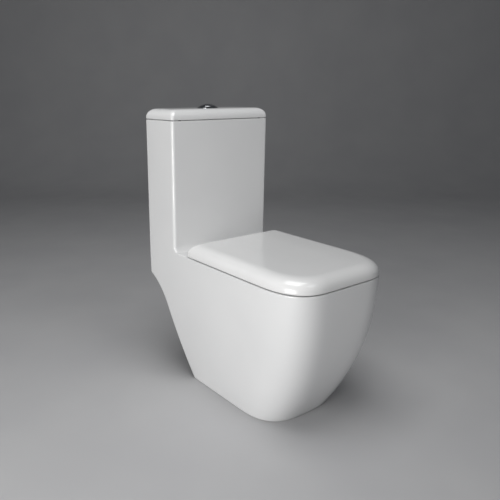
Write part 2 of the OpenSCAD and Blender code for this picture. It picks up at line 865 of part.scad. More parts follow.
module hinge_post(s) {
    x = s * hinge_x;
    difference() {
        union() {
            post(x, hinge_y, rim_z, rim_z + 2.6, 10.9);
            box(x - post_w / 2, hinge_y - 8, rim_z + 1, x + post_w / 2, hinge_y + 8, hinge_z);
            bar_x(x - post_w / 2, x + post_w / 2, hinge_y, hinge_z, post_r);
        }
        bar_x(x - post_w / 2 - over, x + post_w / 2 + over, hinge_y, hinge_z, pin_r + snug);
        post(x, hinge_y, rim_z - over, rim_z + 14, pin_r + snug);
    }
}

module hinge_post_left() {
    color(chrome) hinge_post(-1);
}

module hinge_post_right() {
    color(chrome) hinge_post(1);
}

module hinge_pins() {
    x0 = seat_ear_x - ear_w / 2 + 0.5;
    x1 = lid_ear_x + ear_w / 2 - 0.5;
    color(steel) {
        bar_x(x0, x1, hinge_y, hinge_z, pin_r);
        bar_x(-x1, -x0, hinge_y, hinge_z, pin_r);
    }
}

module hinge_bolts() {
    color(steel) for (s = [-1, 1]) post(s * hinge_x, hinge_y, deck_under - 35, rim_z + 13, pin_r);
}

module hinge_washers() {
    color(black_rubber) for (s = [-1, 1]) difference() {
        union() {
            post(s * hinge_x, hinge_y, deck_under - 5, deck_under, 13);
            post(s * hinge_x, hinge_y, deck_under - eps, deck_under + 8, hinge_hole_r - 0.3);
        }
        post(s * hinge_x, hinge_y, deck_under - 6, deck_under + 9, pin_r + snug);
    }
}

module hinge_wing_nuts() {
    color(grey_plastic) for (s = [-1, 1]) difference() {
        union() {
            post(s * hinge_x, hinge_y, deck_under - 17, deck_under - 5, 8.5);
            box(s * hinge_x - 16, hinge_y - 1.5, deck_under - 22, s * hinge_x + 16, hinge_y + 1.5, deck_under - 9);
        }
        post(s * hinge_x, hinge_y, deck_under - 23, deck_under - 4, pin_r + snug);
    }
}

ceramic_body();
cistern_lid();
cistern_lid_pads();
button_bezel();
button_nut();
full_flush_button();
half_flush_button();
full_push_rod();
half_push_rod();
full_button_spring();
half_button_spring();
flush_valve_body();
flush_valve_gasket();
flush_valve_nut();
overflow_tube();
seal_washer();
full_tappet();
half_tappet();
fill_valve_body();
fill_valve_washer();
fill_valve_nut();
fill_valve_head();
float_cup();
float_rod();
fill_valve_lever();
seat_lid();
lid_buffers();
lid_damper();
lid_sleeve();
seat_ring();
seat_buffers();
seat_damper();
seat_sleeve();
hinge_post_left();
hinge_post_right();
hinge_pins();
hinge_bolts();
hinge_washers();
hinge_wing_nuts();
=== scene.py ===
import json
import math

import bmesh
import bpy
from mathutils import Matrix, Vector


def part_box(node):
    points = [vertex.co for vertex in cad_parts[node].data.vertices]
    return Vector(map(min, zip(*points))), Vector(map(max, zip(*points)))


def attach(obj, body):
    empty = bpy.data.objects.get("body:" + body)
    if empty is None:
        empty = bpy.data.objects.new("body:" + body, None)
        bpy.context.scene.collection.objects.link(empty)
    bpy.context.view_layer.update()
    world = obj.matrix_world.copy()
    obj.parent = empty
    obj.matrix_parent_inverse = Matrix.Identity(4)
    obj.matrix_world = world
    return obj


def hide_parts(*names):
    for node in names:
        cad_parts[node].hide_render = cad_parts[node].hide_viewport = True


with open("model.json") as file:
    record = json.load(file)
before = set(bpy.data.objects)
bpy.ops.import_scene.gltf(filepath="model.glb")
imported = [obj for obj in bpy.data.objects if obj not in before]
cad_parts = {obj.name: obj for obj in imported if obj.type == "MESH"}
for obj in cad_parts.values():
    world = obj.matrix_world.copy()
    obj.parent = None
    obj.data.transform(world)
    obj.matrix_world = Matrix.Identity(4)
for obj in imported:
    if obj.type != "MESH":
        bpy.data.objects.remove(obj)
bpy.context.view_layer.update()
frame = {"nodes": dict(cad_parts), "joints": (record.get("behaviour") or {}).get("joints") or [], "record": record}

MM = 0.001


# ---------- sizes, from the frame ----------

body_low, body_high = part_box("ceramic_body")
lid_low, lid_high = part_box("seat_lid")
cap_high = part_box("cistern_lid")[1]
bezel_low, bezel_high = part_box("button_bezel")
ring_low, ring_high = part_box("seat_ring")
post_low, post_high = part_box("hinge_post_right")
buffer_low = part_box("seat_buffers")[0]
gasket_low, gasket_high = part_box("flush_valve_gasket")
bush_low, bush_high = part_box("seat_sleeve")
joints = {j["name"]: j for j in frame["joints"]}

HALF = body_high.x
FRONT = body_low.y
BACK = body_high.y
WALL = 12 * MM
RIM = buffer_low.z                     # top of the rim and the deck
UNDER = RIM - WALL                     # underside of the deck
CISTERN_TOP = body_high.z
CAP_Z = bezel_low.z                    # bottom edge of the cistern lid
CISTERN_Y = BACK - 151 * MM            # front face of the cistern
TANK_FLOOR = gasket_low.z
HINGE_Y, HINGE_Z = joints["seat_hinge"]["pos_m"][1:]
HINGE_X = (post_low.x + post_high.x) / 2
VALVE = Vector(((gasket_low.x + gasket_high.x) / 2, (gasket_low.y + gasket_high.y) / 2, TANK_FLOOR))

EDGE_R = 9 * MM                        # upright edges of the cistern
COVE_R = 16 * MM
RIM_ROUND = 3.5 * MM
STRAIGHT_BAND = 15 * MM                # upright band of the skirt under the rim
FOOT_HALF = 142 * MM
FOOT_SETBACK = 120 * MM
SIDE_POWER, FRONT_POWER = 2.1, 2.08
CORNER_N = 2.95
RIM_REACH = (119 * MM, 158 * MM)
FOOT_REACH = (135 * MM, 141 * MM)

# Back edge of the skirt: slope, arc, slope
BACK_FOOT_Y = 140 * MM
BACK_SLOPE = math.radians(65.7)
BACK_ARC_Z = 228 * MM
BACK_ARC_R = 170 * MM
BACK_END_SLOPE = math.radians(28)

# Bowl, from the rim opening down to the sump
BOWL_W, BOWL_FRONT, BOWL_REAR = 122 * MM, -262 * MM, 38 * MM
SUMP_W, SUMP_FRONT, SUMP_REAR = 30 * MM, -85 * MM, -20 * MM
SUMP_Z = 95 * MM
BOWL_N = 2.4
BOWL_POWER = 1.6
BOWL_EDGE_R = 7 * MM

# Trapway in the plane x = 0
TRAP_BORE, TRAP_OUT, TRAP_BEND = 32 * MM, 42 * MM, 46 * MM
TRAP_LEG = 183 * MM
TRAP_RISE = math.radians(50)
CREST_Y, CREST_Z = 129 * MM, 254 * MM
OUTLET_Z = 185 * MM
OUTLET_R, OUTLET_BORE = 51 * MM, 40 * MM
OUTLET_START, OUTLET_END = 212 * MM, 268 * MM
SKIRT_EDGE_R = 3 * MM                  # rounding of both corners of the skirt's lower edge

# Flush duct under the deck, from the tank to the bowl
DUCT_HALF, DUCT_END, DUCT_WALL = 38 * MM, 298 * MM, 10 * MM
DUCT_LOW, DUCT_TOP = UNDER - 29.5 * MM, UNDER - 0.5 * MM
HINGE_HOLE_R = 7 * MM

# Lugs for the floor screws
LUG_X, LUG_Y, LUG_H, LUG_HOLE_R = 110 * MM, 112 * MM, 14 * MM, 5.5 * MM
LUG_SPAN_X, LUG_SPAN_Y = (92 * MM, 138 * MM), (88 * MM, 134 * MM)

# Cistern and its lid
TANK_R = 8 * MM                        # upright corners inside the tank
CAP_CROWN, CAP_WALL, CAP_ROOF = 25 * MM, 15 * MM, 13.3 * MM
BUTTON_HOLE_R = 28 * MM


# ---------- mesh helpers ----------

def new_object(name, mesh, material, body):
    piece = bpy.data.objects.new(name, mesh)
    bpy.context.scene.collection.objects.link(piece)
    for m in (material if isinstance(material, (list, tuple)) else [material]):
        mesh.materials.append(m)
    if body:
        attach(piece, body)
    return piece


def grid_mesh(name, rows, caps=True, slots=None):
    """Closed skin through rows of points; each row is a closed ring. Without caps the last row joins the first.
    slots gives a material index per row gap."""
    mesh = bpy.data.meshes.new(name)
    count = len(rows[0])
    points = [p for row in rows for p in row]
    faces, indices = [], []
    for k in range(len(rows) - 1 if caps else len(rows)):
        start, end = k * count, (k + 1) % len(rows) * count
        for i in range(count):
            j = (i + 1) % count
            faces.append((start + i, start + j, end + j, end + i))
            indices.append(slots[k] if slots else 0)
    if caps:
        points.append(sum((Vector(p) for p in rows[0]), Vector()) / count)
        centre = len(points) - 1
        for i in range(count):
            faces.append((centre, (i + 1) % count, i))
            indices.append(slots[0] if slots else 0)
        points.append(sum((Vector(p) for p in rows[-1]), Vector()) / count)
        centre = len(points) - 1
        base = (len(rows) - 1) * count
        for i in range(count):
            faces.append((centre, base + i, base + (i + 1) % count))
            indices.append(slots[-1] if slots else 0)
    mesh.from_pydata([tuple(p) for p in points], [], faces)
    mesh.polygons.foreach_set("material_index", indices)
    face_outwards(mesh)
    return mesh


def face_outwards(mesh):
    work = bmesh.new()
    work.from_mesh(mesh)
    bmesh.ops.recalc_face_normals(work, faces=work.faces)
    work.to_mesh(mesh)
    work.free()


def smooth(piece, angle=35):
    """Smooth shading that stays flat on flat faces and sharp past the angle."""
    mesh = piece.data
    mesh.polygons.foreach_set("use_smooth", [True] * len(mesh.polygons))
    work = bmesh.new()
    work.from_mesh(mesh)
    limit = math.radians(angle)
    for edge in work.edges:
        edge.smooth = len(edge.link_faces) == 2 and edge.calc_face_angle(0) < limit
    work.to_mesh(mesh)
    work.free()
    weighted = piece.modifiers.new("weighted", "WEIGHTED_NORMAL")
    weighted.keep_sharp = True
    weighted.weight = 60
    return piece


def apply_modifiers(piece):
    """Replaces a piece's mesh with the result of its modifiers."""
    bpy.context.view_layer.update()
    evaluated = piece.evaluated_get(bpy.context.evaluated_depsgraph_get())
    result = bpy.data.meshes.new_from_object(evaluated)
    old = piece.data
    piece.modifiers.clear()
    piece.data = result
    bpy.data.meshes.remove(old)
    return piece


def combine(piece, tools, operation):
    """Cuts the tools out of a piece, or joins them to it; the tools are used up."""
    for tool in tools:
        change = piece.modifiers.new("boolean", "BOOLEAN")
        change.operation = operation
        change.solver = "EXACT"
        change.object = tool
    apply_modifiers(piece)
    for tool in tools:
        mesh = tool.data
        bpy.data.objects.remove(tool)
        bpy.data.meshes.remove(mesh)
    return piece


def bevel(piece, width, segments=3, angle=40):
    change = piece.modifiers.new("bevel", "BEVEL")
    change.width = width
    change.segments = segments
    change.limit_method = "ANGLE"
    change.angle_limit = math.radians(angle)
    change.harden_normals = False
    return piece


def box_tool(name, low, high):
    mesh = bpy.data.meshes.new(name)
    work = bmesh.new()
    bmesh.ops.create_cube(work, size=1)
    for v in work.verts:
        v.co = Vector([low[i] + (v.co[i] + 0.5) * (high[i] - low[i]) for i in range(3)])
    work.to_mesh(mesh)
    work.free()
    return new_object(name, mesh, [], None)


def rod_tool(name, start, end, radius, sides=48):
    return new_object(name, sweep_mesh(name, [Vector(start), Vector(end)], radius, sides), [], None)


def sweep_mesh(name, path, radius, sides=32):
    """Round rod through the points of a path."""
    rows = []
    last_side = None
    for i, p in enumerate(path):
        before = path[max(i - 1, 0)]
        after = path[min(i + 1, len(path) - 1)]
        along = (after - before).normalized()
        side = (last_side or Vector((1, 0, 0) if abs(along.x) < 0.9 else (0, 1, 0)))
        side = (side - along * side.dot(along)).normalized()
        last_side = side
        up = along.cross(side)
        rows.append([p + radius * (side * math.cos(t) + up * math.sin(t))
                     for t in (2 * math.pi * k / sides for k in range(sides))])
    return grid_mesh(name, rows)


def lathe_mesh(name, profile, centre, sides=96):
    """Turned shape; profile is (radius, height) from one end of the axis to the other, in metres."""
    rows = [[Vector((centre[0] + r * math.cos(t), centre[1] + r * math.sin(t), centre[2] + z))
             for t in (2 * math.pi * k / sides for k in range(sides))] for r, z in profile]
    return grid_mesh(name, rows)


def lerp(a, b, t):
    return a + (b - a) * t


def arc(count, start=0.0, end=90.0):
    """Angles in radians, both ends included."""
    return [math.radians(lerp(start, end, i / count)) for i in range(count + 1)]


# ---------- outlines seen from above ----------

def half_outline(half, front, back, reach, back_r, front_n, counts):
    """Right half of an outline from the back middle round to the front middle, as (x, y, nx, ny)."""
    rear_n, side_n, corner_n, nose_n = counts
    points = []
    for i in range(rear_n):
        points.append((lerp(0, half - back_r, i / rear_n), back, 0.0, 1.0))
    for a in arc(5, 90, 0):
        points.append((half - back_r + back_r * math.cos(a), back - back_r + back_r * math.sin(a),
                       math.cos(a), math.sin(a)))
    side_start = back - back_r
    side_end = front + reach[1]
    for i in range(1, side_n):
        points.append((half, lerp(side_start, side_end, i / side_n), 1.0, 0.0))
    for a in arc(corner_n):
        c, s = max(math.cos(a), 1e-9), max(math.sin(a), 1e-9)
        x = half - reach[0] + reach[0] * c ** (2 / front_n)
        y = front + reach[1] - reach[1] * s ** (2 / front_n)
        nx = c ** (2 - 2 / front_n) / reach[0]
        ny = -s ** (2 - 2 / front_n) / reach[1]
        size = math.hypot(nx, ny)
        points.append((x, y, nx / size, ny / size))
    for i in range(1, nose_n + 1):
        points.append((lerp(half - reach[0], 0, i / nose_n), front, 0.0, -1.0))
    return points


def mirrored(points):
    """Both halves: the right one, then the left one back to the start, without doubled middle points."""
    return points + [(-x, y, -nx, ny) for x, y, nx, ny in reversed(points[1:-1])]


# ---------- ceramic pan ----------

PAN_COUNTS = (12, 64, 30, 8)


def drop(z):
    """0 at the skirt's upright band, growing to 1 at the floor."""
    return max(0.0, 1 - z / (RIM - STRAIGHT_BAND))


def pan_outline(z):
    """Outside of the skirt seen from above at height z."""
    t = drop(z)
    half = HALF - (HALF - FOOT_HALF) * t ** SIDE_POWER
    front = FRONT + FOOT_SETBACK * t ** FRONT_POWER
    reach = tuple(lerp(a, b, t) for a, b in zip(RIM_REACH, FOOT_REACH))
    return mirrored(half_outline(half, front, BACK, reach, EDGE_R, CORNER_N, PAN_COUNTS))


ARC_Y = BACK_FOOT_Y + BACK_ARC_Z / math.tan(BACK_SLOPE)
ARC_CENTRE = (ARC_Y + BACK_ARC_R * math.sin(BACK_SLOPE), BACK_ARC_Z - BACK_ARC_R * math.cos(BACK_SLOPE))
ARC_END = (ARC_CENTRE[0] - BACK_ARC_R * math.sin(BACK_END_SLOPE),
           ARC_CENTRE[1] + BACK_ARC_R * math.cos(BACK_END_SLOPE))


def skirt_bottom(y):
    """Height of the skirt's lower edge at a distance y from the middle."""
    if y <= BACK_FOOT_Y:
        return 0.0
    if y < ARC_Y:
        return (y - BACK_FOOT_Y) * math.tan(BACK_SLOPE)
    if y < ARC_END[0]:
        return ARC_CENTRE[1] + math.sqrt(BACK_ARC_R ** 2 - (y - ARC_CENTRE[0]) ** 2)
    return ARC_END[1] + (y - ARC_END[0]) * math.tan(BACK_END_SLOPE)


def bowl_point(direction, t, grow):
    """Point of the bowl skin: t is 0 at the rim and 90 degrees at the sump, direction is seen from above."""
    opening = math.cos(t)
    depth = math.sin(t) ** (2 / BOWL_POWER)
    half = lerp(SUMP_W, BOWL_W, opening) + grow
    front = lerp(SUMP_FRONT, BOWL_FRONT, opening) - grow
    rear = lerp(BOWL_REAR, SUMP_REAR, depth) + grow
    length = (rear - front) / 2
    dx, dy = direction
    power = BOWL_N / 2
    cx, cy = abs(dx / BOWL_W) ** power, abs(dy / ((BOWL_REAR - BOWL_FRONT) / 2)) ** power
    size = math.hypot(cx, cy)
    x = half * math.copysign((cx / size) ** (2 / BOWL_N), dx)
    y = (front + rear) / 2 + length * math.copysign((cy / size) ** (2 / BOWL_N), dy)
    return Vector((x, y, lerp(RIM, SUMP_Z, depth)))


def pan_rows():
    """Every ring of the pan's skin, from the middle of the sump out over the rim and back inside the skirt."""
    top = pan_outline(RIM)
    bowl_mid = (BOWL_FRONT + BOWL_REAR) / 2
    directions = [(x, y - bowl_mid) for x, y, nx, ny in top]
    base = [pan_base(i) for i in range(len(top))]
    rows, slots = [], []

    def add(row, slot):
        rows.append(row)
        slots.append(slot)

    # Bowl, sump first
    for t in arc(30, 90, 0)[:-1]:
        add([bowl_point(d, t, 0) for d in directions], 0)
    for a in arc(5, 0, 90):
        row = []
        for d in directions:
            p = bowl_point(d, 0, BOWL_EDGE_R * (1 - math.cos(a)))
            row.append(Vector((p.x, p.y, RIM - BOWL_EDGE_R + BOWL_EDGE_R * math.sin(a))))
        while rows and a == 0 and min(p.z for p in rows[-1]) > RIM - BOWL_EDGE_R:
            rows.pop()
            slots.pop()
        add(row, 0)
    edge = rows[-1]
    # Rim top, out to the rounded edge
    rim_round = [rounding(y) for x, y, nx, ny in top]
    outer = [Vector((x - nx * r, y - ny * r, RIM)) for (x, y, nx, ny), r in zip(top, rim_round)]
    for i in range(1, 9):
        add([a.lerp(b, i / 8) for a, b in zip(edge, outer)], 0)
    for a in arc(5, 90, 0)[1:]:
        add([Vector((x - nx * r * (1 - math.cos(a)), y - ny * r * (1 - math.cos(a)), RIM - r + r * math.sin(a)))
             for (x, y, nx, ny), r in zip(top, rim_round)], 0)
    # Outside of the skirt
    steps = 34
    band = rows[-1]
    for k in range(1, steps + 1):
        add([skin_point(i, lerp(start.z, low["z"] + low["lift"], k / steps))
             for i, (start, low) in enumerate(zip(band, base))], 0)
    # Lower edge, rounded at both corners
    r = SKIRT_EDGE_R
    for inward, angles in ((r, arc(4)), (WALL - r, arc(4, 90, 180))):
        for a in angles:
            if inward == r and a == 0:
                continue
            add([low["point"] - low["n"] * inward - low["d"] * r
                 + r * (low["n"] * math.cos(a) + low["d"] * math.sin(a)) for low in base], 1 if inward > r else 0)
    # Inside of the skirt
    for k in range(1, 13):
        add([skin_point(i, lerp(low["z"] + low["lift"], UNDER, k / 12)) - low["n"] * WALL
             for i, low in enumerate(base)], 1)
    # Underside of the deck, then the outside of the bowl down to its lowest point
    inner = rows[-1]
    shell = [bowl_point(d, 0, WALL) for d in directions]
    for i in range(1, 7):
        add([a.lerp(Vector((b.x, b.y, UNDER)), i / 6) for a, b in zip(inner, shell)], 1)
    for t in arc(24, 0, 90):
        row = [bowl_point(d, t, WALL) for d in directions]
        low = min(p.z for p in row)
        if low > UNDER - 4 * MM:
            continue
        add([Vector((p.x, p.y, p.z - WALL * math.sin(t))) for p in row], 1)
    return rows, slots


OUTLINES = {}


def skin_point(index, z):
    """Point of the skirt's outside in one column of the mesh, at height z."""
    key = round(z, 5)
    if key not in OUTLINES:
        OUTLINES[key] = pan_outline(z)
    x, y, nx, ny = OUTLINES[key][index]
    return Vector((x, y, z))


def pan_base(index):
    """Where a column of the skirt meets its lower edge, with the directions that the edge rounding needs."""
    count = len(pan_outline(0))

    def place(i):
        z = skirt_bottom(skin_point(i % count, 0).y)
        for _ in range(4):  # the skin's y shifts with its height, so the height is found in steps
            z = skirt_bottom(skin_point(i % count, z).y)
        return skin_point(i % count, z)

    point = place(index)
    x, y, nx, ny = pan_outline(point.z)[index]
    normal = Vector((nx, ny, 0))
    along = (place(index + 1) - place(index - 1)).normalized()
    down = along.cross(normal).normalized()
    if down.z > 0:
        down = -down
    lift = SKIRT_EDGE_R * max(-down.z, 0.25)
    if down.y > 0.05:
        lift = SKIRT_EDGE_R / max(-down.z, 0.35)
    return {"point": point, "z": point.z, "n": normal, "d": down, "lift": lift}


def rounding(y):
    """Edge rounding of the rim, which dies away where the cistern stands."""
    t = min(1.0, max(0.0, (CISTERN_Y - 4 * MM - y) / (14 * MM)))
    return max(0.02 * MM, RIM_ROUND * t * t * (3 - 2 * t))


def trap_path():
    """Middle line of the trapway: up from the sump, over the crest and down to the level outlet."""
    crest = Vector((0, CREST_Y, CREST_Z - TRAP_BEND))
    fall = math.acos(1 - (CREST_Z - OUTLET_Z) / (2 * TRAP_BEND))
    out_y = CREST_Y + 2 * TRAP_BEND * math.sin(fall)
    top = crest + TRAP_BEND * Vector((0, -math.sin(TRAP_RISE), math.cos(TRAP_RISE)))
    low = top - TRAP_LEG * Vector((0, math.cos(TRAP_RISE), math.sin(TRAP_RISE)))
    path = [low.lerp(top, i / 6) for i in range(6)]
    for i in range(15):
        a = lerp(TRAP_RISE, -fall, i / 14)
        path.append(crest + TRAP_BEND * Vector((0, -math.sin(a), math.cos(a))))
    for i in range(1, 10):
        a = lerp(-fall, 0, i / 9)
        path.append(Vector((0, out_y + TRAP_BEND * math.sin(a), OUTLET_Z + TRAP_BEND - TRAP_BEND * math.cos(a))))
    path.append(Vector((0, out_y + 4 * MM, OUTLET_Z)))
    return path


def make_pan(glaze, bisque):
    rows, slots = pan_rows()
    pan = new_object("pan_casting", grid_mesh("pan_casting", rows, slots=slots), [glaze, bisque], "pan")
    path = trap_path()
    lead = (path[0] - path[1]).normalized()
    bore = new_object("bore", sweep_mesh("bore", path, TRAP_BORE, 48), [], None)
    duct = box_tool("duct", (-DUCT_HALF, 0, DUCT_LOW), (DUCT_HALF, DUCT_END, DUCT_TOP))
    holes = [rod_tool("hole", (s * HINGE_X, HINGE_Y, UNDER - 0.02), (s * HINGE_X, HINGE_Y, RIM + 0.02), HINGE_HOLE_R)
             for s in (-1, 1)]
    combine(pan, [bore, duct] + holes, "DIFFERENCE")
    smooth(pan)
    # Trapway pipe, trimmed where it would stand inside the bowl
    pipe = new_object("trapway", sweep_mesh("trapway", [path[0] + lead * WALL] + path, TRAP_OUT, 64), bisque, "pan")
    cavity_rows = [[bowl_point((math.cos(a), math.sin(a)), t, 1 * MM) for a in
                    (2 * math.pi * k / 96 for k in range(96))] for t in arc(24, 90, 0)]
    cavity = new_object("cavity", grid_mesh("cavity", cavity_rows), [], None)
    bore = new_object("bore", sweep_mesh("bore", [path[0] + lead * 2 * MM] + path + [path[-1] + Vector((0, 0.01, 0))],
                                         TRAP_BORE, 48), [], None)
    combine(pipe, [cavity, bore], "DIFFERENCE")
    smooth(pipe)
    # Outlet spigot
    start, end = OUTLET_START, OUTLET_END
    profile = [(TRAP_OUT - 6 * MM, start), (OUTLET_R - 4 * MM, start), (OUTLET_R - 1 * MM, start + 1 * MM),
               (OUTLET_R, start + 4 * MM), (OUTLET_R, end - 3 * MM), (OUTLET_R - 1 * MM, end - 1 * MM),
               (OUTLET_R - 3 * MM, end), (OUTLET_BORE + 2 * MM, end), (OUTLET_BORE, end - 2 * MM),
               (OUTLET_BORE, start + 8 * MM), (TRAP_BORE + 2 * MM, start + 5 * MM), (TRAP_BORE, start + 5 * MM),
               (TRAP_BORE, start + 1 * MM)]
    rows = [[Vector((r * math.cos(a), y, OUTLET_Z + r * math.sin(a)))
             for a in (2 * math.pi * k / 96 for k in range(96))] for r, y in profile]
    spigot = new_object("outlet_spigot", grid_mesh("outlet_spigot", rows, caps=False), glaze, "pan")
    smooth(spigot)
    # Flush duct under the deck, and the lugs for the floor screws
    duct_box = box_tool("flush_duct", (-DUCT_HALF - DUCT_WALL, 40 * MM, DUCT_LOW - DUCT_WALL),
                        (DUCT_HALF + DUCT_WALL, DUCT_END + DUCT_WALL, UNDER + 1 * MM))
    inside = box_tool("inside", (-DUCT_HALF, 20 * MM, DUCT_LOW), (DUCT_HALF, DUCT_END, UNDER + 2 * MM))
    combine(duct_box, [inside], "DIFFERENCE")
    duct_box.data.materials.append(bisque)
    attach(duct_box, "pan")
    smooth(bevel(duct_box, 3 * MM))
    pieces = [pan, pipe, spigot, duct_box]
    for s, side in ((-1, "left"), (1, "right")):
        xs = sorted(s * x for x in LUG_SPAN_X)
        lug = box_tool("floor_lug_" + side, (xs[0], LUG_SPAN_Y[0], 0.2 * MM), (xs[1], LUG_SPAN_Y[1], LUG_H))
        hole = rod_tool("hole", (s * LUG_X, LUG_Y, -0.01), (s * LUG_X, LUG_Y, 0.03), LUG_HOLE_R)
        combine(lug, [hole], "DIFFERENCE")
        lug.data.materials.append(bisque)
        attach(lug, "pan")
        smooth(bevel(lug, 2 * MM))
        pieces.append(lug)
    return pieces


# ---------- ceramic cistern ----------

def cistern_outline(half, front, back, front_r, back_r):
    """Rounded rectangle seen from above, as (x, y, nx, ny)."""
    right = []
    for i in range(12):
        right.append((lerp(0, half - back_r, i / 12), back, 0, 1))
    for a in arc(6, 90, 0):
        right.append((half - back_r + back_r * math.cos(a), back - back_r + back_r * math.sin(a),
                      math.cos(a), math.sin(a)))
    for i in range(1, 8):
        right.append((half, lerp(back - back_r, front + front_r, i / 8), 1, 0))
    for a in arc(8, 0, 90):
        right.append((half - front_r + front_r * math.cos(a), front + front_r - front_r * math.sin(a),
                      math.cos(a), -math.sin(a)))
    for i in range(1, 13):
        right.append((lerp(half - front_r, 0, i / 12), front, 0, -1))
    return mirrored(right)


def cistern_ring(z, front=None, front_r=EDGE_R, inset=0.0):
    front = CISTERN_Y if front is None else front
    ring = cistern_outline(HALF, front, BACK, front_r, EDGE_R)
    return [Vector((x - nx * inset, y - ny * inset, z)) for x, y, nx, ny in ring]


def tank_ring(z, inset):
    ring = cistern_outline(HALF - inset, CISTERN_Y + inset, BACK - inset, TANK_R, TANK_R)
    return [Vector((x, y, z)) for x, y, nx, ny in ring]


def make_cistern(glaze):
    sink, toe_r = 1.5 * MM, 3 * MM
    rows = [cistern_ring(RIM - sink, CISTERN_Y - COVE_R, toe_r, sink)]
    for a in arc(10):
        front = CISTERN_Y - COVE_R + COVE_R * math.sin(a)
        rows.append(cistern_ring(RIM + COVE_R * (1 - math.cos(a)), front, lerp(toe_r, EDGE_R, math.sin(a))))
    edge = 2.5 * MM
    for k in range(1, 9):
        rows.append(cistern_ring(lerp(RIM + COVE_R, CISTERN_TOP - edge, k / 8)))
    for a in arc(4)[1:]:
        rows.append(cistern_ring(CISTERN_TOP - edge + edge * math.sin(a), inset=edge * (1 - math.cos(a))))
    for a in arc(4, 90, 0):
        rows.append(tank_ring(CISTERN_TOP - edge + edge * math.sin(a), WALL - edge * (1 - math.cos(a))))
    floor_r = 10 * MM
    for k in range(1, 7):
        rows.append(tank_ring(lerp(CISTERN_TOP - edge, TANK_FLOOR + floor_r, k / 6), WALL))
    for a in arc(5)[1:]:
        rows.append(tank_ring(TANK_FLOOR + floor_r * (1 - math.sin(a)), WALL + floor_r * (1 - math.cos(a))))
    rows.append(tank_ring(TANK_FLOOR, WALL + 40 * MM))
    cistern = new_object("cistern_casting", grid_mesh("cistern_casting", rows), glaze, "pan")
    return smooth(cistern)


# ---------- cistern lid ----------

def make_cistern_lid(glaze):
    bottom, top = CAP_Z, cap_high.z
    crown, wall = CAP_CROWN, CAP_WALL
    hollow_top = top - CAP_ROOF
    profile = [(hollow_top, wall + 35 * MM), (hollow_top, wall + 14 * MM), (hollow_top - 2 * MM, wall + 8 * MM),
               (hollow_top - 6 * MM, wall + 4 * MM), (bottom + 2 * MM, wall),
               (bottom + 0.6 * MM, wall - 0.5 * MM), (bottom, wall - 2 * MM), (bottom, 2.5 * MM),
               (bottom + 0.5 * MM, 1 * MM), (bottom + 1.5 * MM, 0.2 * MM), (bottom + 2.5 * MM, 0)]
    profile += [(top - crown + crown * math.sin(a), crown * (1 - math.cos(a))) for a in arc(16)]
    rows = [crown_ring(z, inset) for z, inset in profile]
    rows.append(crown_ring(top, 50 * MM))
    lid = new_object("cistern_lid_skin", grid_mesh("cistern_lid_skin", rows), glaze, "cistern_top")
    hole = rod_tool("hole", (VALVE.x, VALVE.y, hollow_top - 0.02), (VALVE.x, VALVE.y, top + 0.02), BUTTON_HOLE_R, 96)
    combine(lid, [hole], "DIFFERENCE")
    smooth(lid)
    # Rib under the lid that keeps it centred in the tank
    outer, inner = WALL + 3 * MM, WALL + 9 * MM
    low = bottom - 10 * MM
    ribs = [tank_ring(bottom + 3 * MM, inner), tank_ring(low + 1.5 * MM, inner), tank_ring(low, inner - 1.5 * MM),
            tank_ring(low, outer + 1.5 * MM), tank_ring(low + 1.5 * MM, outer), tank_ring(bottom + 3 * MM, outer)]
    rib = new_object("cistern_lid_rib", grid_mesh("cistern_lid_rib", ribs, caps=False), glaze, "cistern_top")
    smooth(rib)
    return [lid, rib]


def crown_ring(z, inset):
    """Ring of the cistern lid, drawn in by inset; its corners grow rounder as it goes in."""
    corner = EDGE_R + 0.25 * min(inset, CAP_CROWN)
    ring = cistern_outline(HALF - inset, CISTERN_Y + inset, BACK - inset, corner, corner)
    return [Vector((x, y, z)) for x, y, nx, ny in ring]


# ---------- flush button ----------

DOME_BASE = (bezel_high.x - bezel_low.x) / 2
DOME_H = max(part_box("full_flush_button")[1].z, bezel_high.z) - cap_high.z
DOME_R = (DOME_BASE ** 2 + DOME_H ** 2) / (2 * DOME_H)


def dome(r):
    """Height of the dome above the cistern lid at a distance r from its middle."""
    return math.sqrt(DOME_R ** 2 - r ** 2) - (DOME_R - DOME_H)


